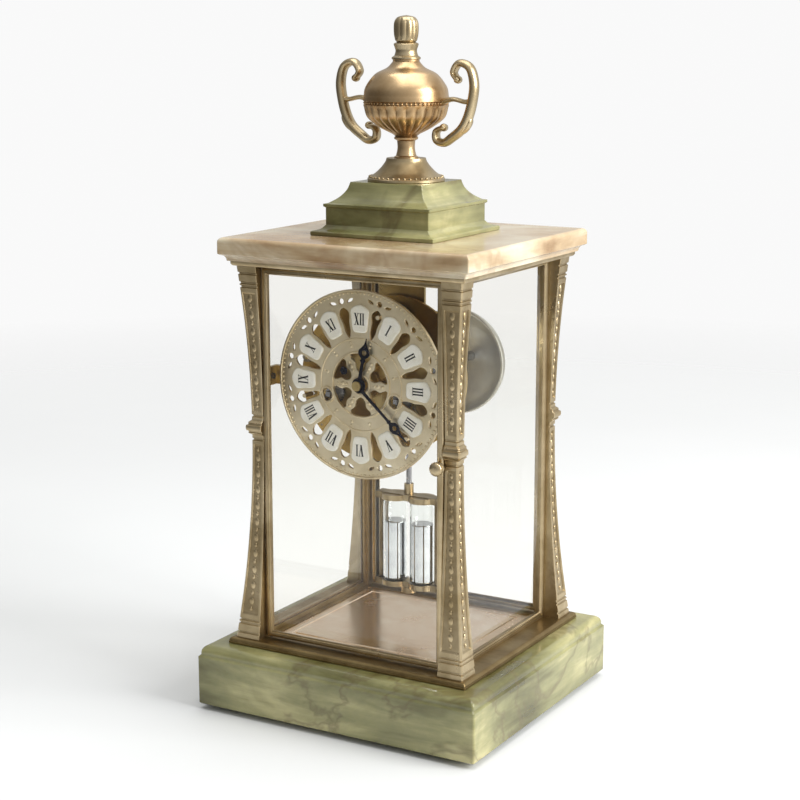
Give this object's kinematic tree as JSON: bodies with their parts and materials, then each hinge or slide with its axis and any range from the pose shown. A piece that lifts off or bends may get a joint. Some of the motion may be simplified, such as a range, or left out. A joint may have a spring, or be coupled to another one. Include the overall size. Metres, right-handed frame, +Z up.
{
  "type": "four-glass mantel clock",
  "caption": "Onyx and gilt brass glass-sided mantel clock with an openwork dial, hinged doors, pendulum, going and strike trains, bell and urn finial.",
  "frame": {"origin": "centre of the rectangle that the clock stands on, at the surface under its feet", "axes": "+Z up through the finial, -Y out of the dial towards the reader, +X to the reader's right"},
  "size_m": [0.17, 0.159, 0.3706],
  "materials": {
    "onyx": "polished green-brown onyx with darker veins",
    "pale_onyx": "polished pale tan onyx",
    "gilt_brass": "lacquered gilt brass",
    "polished_brass": "mirror polished brass",
    "movement_brass": "satin brass",
    "steel": "fine brushed steel",
    "blued_steel": "near-black blued steel",
    "enamel": "cream enamel with dark numerals",
    "glass": "bevelled clear glass",
    "bell_metal": "silvered bell metal",
    "mercury": "liquid mercury",
    "foot_felt": "dark felt"
  },
  "bodies": {
    "case": {"base_plinth": "onyx", "base_feet": "foot_felt", "case_screws": "steel", "base_rail": "gilt_brass", "floor_plate": "polished_brass", "post_front_left": "gilt_brass", "post_front_right": "gilt_brass", "post_back_left": "gilt_brass", "post_back_right": "gilt_brass", "top_rail": "gilt_brass", "top_plate": "pale_onyx", "dome_block": "onyx", "finial_socle": "gilt_brass", "finial_urn": "gilt_brass", "finial_handles": "gilt_brass", "finial_knob": "gilt_brass", "side_frames": "gilt_brass", "side_glasses": "glass", "movement_brackets": "movement_brass", "movement_screws": "steel", "front_plate": "movement_brass", "back_plate": "movement_brass", "plate_pillars": "movement_brass", "dial_ring": "gilt_brass", "dial_plaques": "enamel", "bell": "bell_metal", "bell_stand": "steel", "suspension_cock": "movement_brass"},
    "front_door": {"front_door_frame": "gilt_brass", "front_glass": "glass"},
    "front_turn_button": {"front_latch": "gilt_brass"},
    "rear_door": {"rear_door_frame": "gilt_brass", "rear_glass": "glass"},
    "rear_turn_button": {"rear_latch": "gilt_brass"},
    "centre_arbor": {"centre_wheel": "movement_brass", "cannon_pinion": "movement_brass", "minute_hand": "blued_steel"},
    "minute_work": {"minute_wheel": "movement_brass"},
    "hour_work": {"hour_wheel": "movement_brass", "hour_hand": "blued_steel"},
    "intermediate_arbor": {"intermediate_wheel": "movement_brass"},
    "going_drum": {"going_barrel": "movement_brass", "going_mainspring": "steel"},
    "third_arbor": {"third_wheel": "movement_brass"},
    "escape_arbor": {"escape_wheel": "movement_brass"},
    "pallet_arbor": {"pallets": "steel"},
    "pendulum": {"pendulum_rod": "steel", "jar_frame": "gilt_brass", "jars": "glass", "mercury": "mercury"},
    "pin_arbor": {"pin_wheel": "movement_brass"},
    "strike_drum": {"strike_barrel": "movement_brass", "strike_mainspring": "steel"},
    "locking_arbor": {"locking_wheel": "movement_brass"},
    "fly_arbor": {"fly": "movement_brass"},
    "hammer_arbor": {"hammer": "steel"},
    "going_winder": {"going_arbor": "steel"},
    "strike_winder": {"strike_arbor": "steel"},
    "going_pawl": {"going_click": "steel"},
    "strike_pawl": {"strike_click": "steel"}
  },
  "joints": [
    {"name": "front_door_hinge", "type": "hinge", "parent": "case", "child": "front_door", "pos_m": [-0.0525, -0.0555, 0.14], "axis": [0, 0, 1], "range_deg": [-90, 0]},
    {"name": "rear_door_hinge", "type": "hinge", "parent": "case", "child": "rear_door", "pos_m": [0.0525, 0.0555, 0.14], "axis": [0, 0, 1], "range_deg": [-90, 0]},
    {"name": "front_turn_button_spin", "type": "hinge", "parent": "front_door", "child": "front_turn_button", "pos_m": [0.0533, -0.055, 0.148], "axis": [0, 1, 0], "range_deg": [0, 90]},
    {"name": "rear_turn_button_spin", "type": "hinge", "parent": "rear_door", "child": "rear_turn_button", "pos_m": [-0.0533, 0.055, 0.148], "axis": [0, -1, 0], "range_deg": [0, 90]},
    {"name": "minute_hand_turn", "type": "hinge", "parent": "case", "child": "centre_arbor", "pos_m": [0, -0.025, 0.183], "axis": [0, 1, 0], "continuous": true},
    {"name": "minute_wheel_turn", "type": "hinge", "parent": "case", "child": "minute_work", "pos_m": [0.00504, -0.04, 0.19173], "axis": [0, 1, 0], "continuous": true},
    {"name": "hour_hand_turn", "type": "hinge", "parent": "case", "child": "hour_work", "pos_m": [0, -0.045, 0.183], "axis": [0, 1, 0], "continuous": true},
    {"name": "intermediate_wheel_turn", "type": "hinge", "parent": "case", "child": "intermediate_arbor", "pos_m": [0.00232, -0.025, 0.16636], "axis": [0, 1, 0], "continuous": true},
    {"name": "going_barrel_turn", "type": "hinge", "parent": "case", "child": "going_drum", "pos_m": [0.0205, -0.025, 0.176], "axis": [0, 1, 0], "continuous": true},
    {"name": "third_wheel_turn", "type": "hinge", "parent": "case", "child": "third_arbor", "pos_m": [0.00818, -0.025, 0.19719], "axis": [0, 1, 0], "continuous": true},
    {"name": "escape_wheel_turn", "type": "hinge", "parent": "case", "child": "escape_arbor", "pos_m": [0, -0.025, 0.20889], "axis": [0, 1, 0], "continuous": true},
    {"name": "pendulum_swing", "type": "hinge", "parent": "case", "child": "pendulum", "pos_m": [0, 0.003, 0.2209], "axis": [0, 1, 0], "range_deg": [-2.5, 2.5]},
    {"name": "pallet_rock", "type": "hinge", "parent": "case", "child": "pallet_arbor", "pos_m": [0, -0.025, 0.2209], "axis": [0, 1, 0], "range_deg": [-2.5, 2.5]},
    {"name": "pin_wheel_turn", "type": "hinge", "parent": "case", "child": "pin_arbor", "pos_m": [-0.02229, -0.025, 0.1965], "axis": [0, 1, 0], "continuous": true},
    {"name": "strike_barrel_turn", "type": "hinge", "parent": "case", "child": "strike_drum", "pos_m": [-0.0205, -0.025, 0.176], "axis": [0, 1, 0], "continuous": true},
    {"name": "locking_wheel_turn", "type": "hinge", "parent": "case", "child": "locking_arbor", "pos_m": [-0.01509, -0.025, 0.20897], "axis": [0, 1, 0], "continuous": true},
    {"name": "fly_turn", "type": "hinge", "parent": "case", "child": "fly_arbor", "pos_m": [-0.02565, -0.025, 0.21083], "axis": [0, 1, 0], "continuous": true},
    {"name": "hammer_lift", "type": "hinge", "parent": "case", "child": "hammer_arbor", "pos_m": [-0.03, -0.008, 0.157], "axis": [0, 1, 0], "range_deg": [-14, 0]},
    {"name": "going_winding", "type": "hinge", "parent": "case", "child": "going_winder", "pos_m": [0.0205, -0.04, 0.176], "axis": [0, 1, 0], "continuous": true},
    {"name": "strike_winding", "type": "hinge", "parent": "case", "child": "strike_winder", "pos_m": [-0.0205, -0.04, 0.176], "axis": [0, 1, 0], "continuous": true},
    {"name": "going_click_lift", "type": "hinge", "parent": "case", "child": "going_pawl", "pos_m": [0.029, -0.039, 0.165], "axis": [0, 1, 0], "range_deg": [0, 15], "stiffness_Nm_per_rad": 0.001, "springref_deg": -5.73},
    {"name": "strike_click_lift", "type": "hinge", "parent": "case", "child": "strike_pawl", "pos_m": [-0.029, -0.039, 0.165], "axis": [0, -1, 0], "range_deg": [0, 15], "stiffness_Nm_per_rad": 0.001, "springref_deg": -5.73}
  ],
  "couplings": [
    {"joint": "minute_wheel_turn", "follows": "minute_hand_turn", "ratio": -0.33333},
    {"joint": "hour_hand_turn", "follows": "minute_hand_turn", "ratio": 0.083333},
    {"joint": "intermediate_wheel_turn", "follows": "minute_hand_turn", "ratio": -0.16667},
    {"joint": "going_barrel_turn", "follows": "minute_hand_turn", "ratio": 0.027778},
    {"joint": "third_wheel_turn", "follows": "minute_hand_turn", "ratio": -12},
    {"joint": "escape_wheel_turn", "follows": "minute_hand_turn", "ratio": 132},
    {"joint": "pallet_rock", "follows": "pendulum_swing", "ratio": 1},
    {"joint": "strike_barrel_turn", "follows": "pin_wheel_turn", "ratio": -0.16667},
    {"joint": "locking_wheel_turn", "follows": "pin_wheel_turn", "ratio": -9},
    {"joint": "fly_turn", "follows": "pin_wheel_turn", "ratio": 77.143}
  ]
}
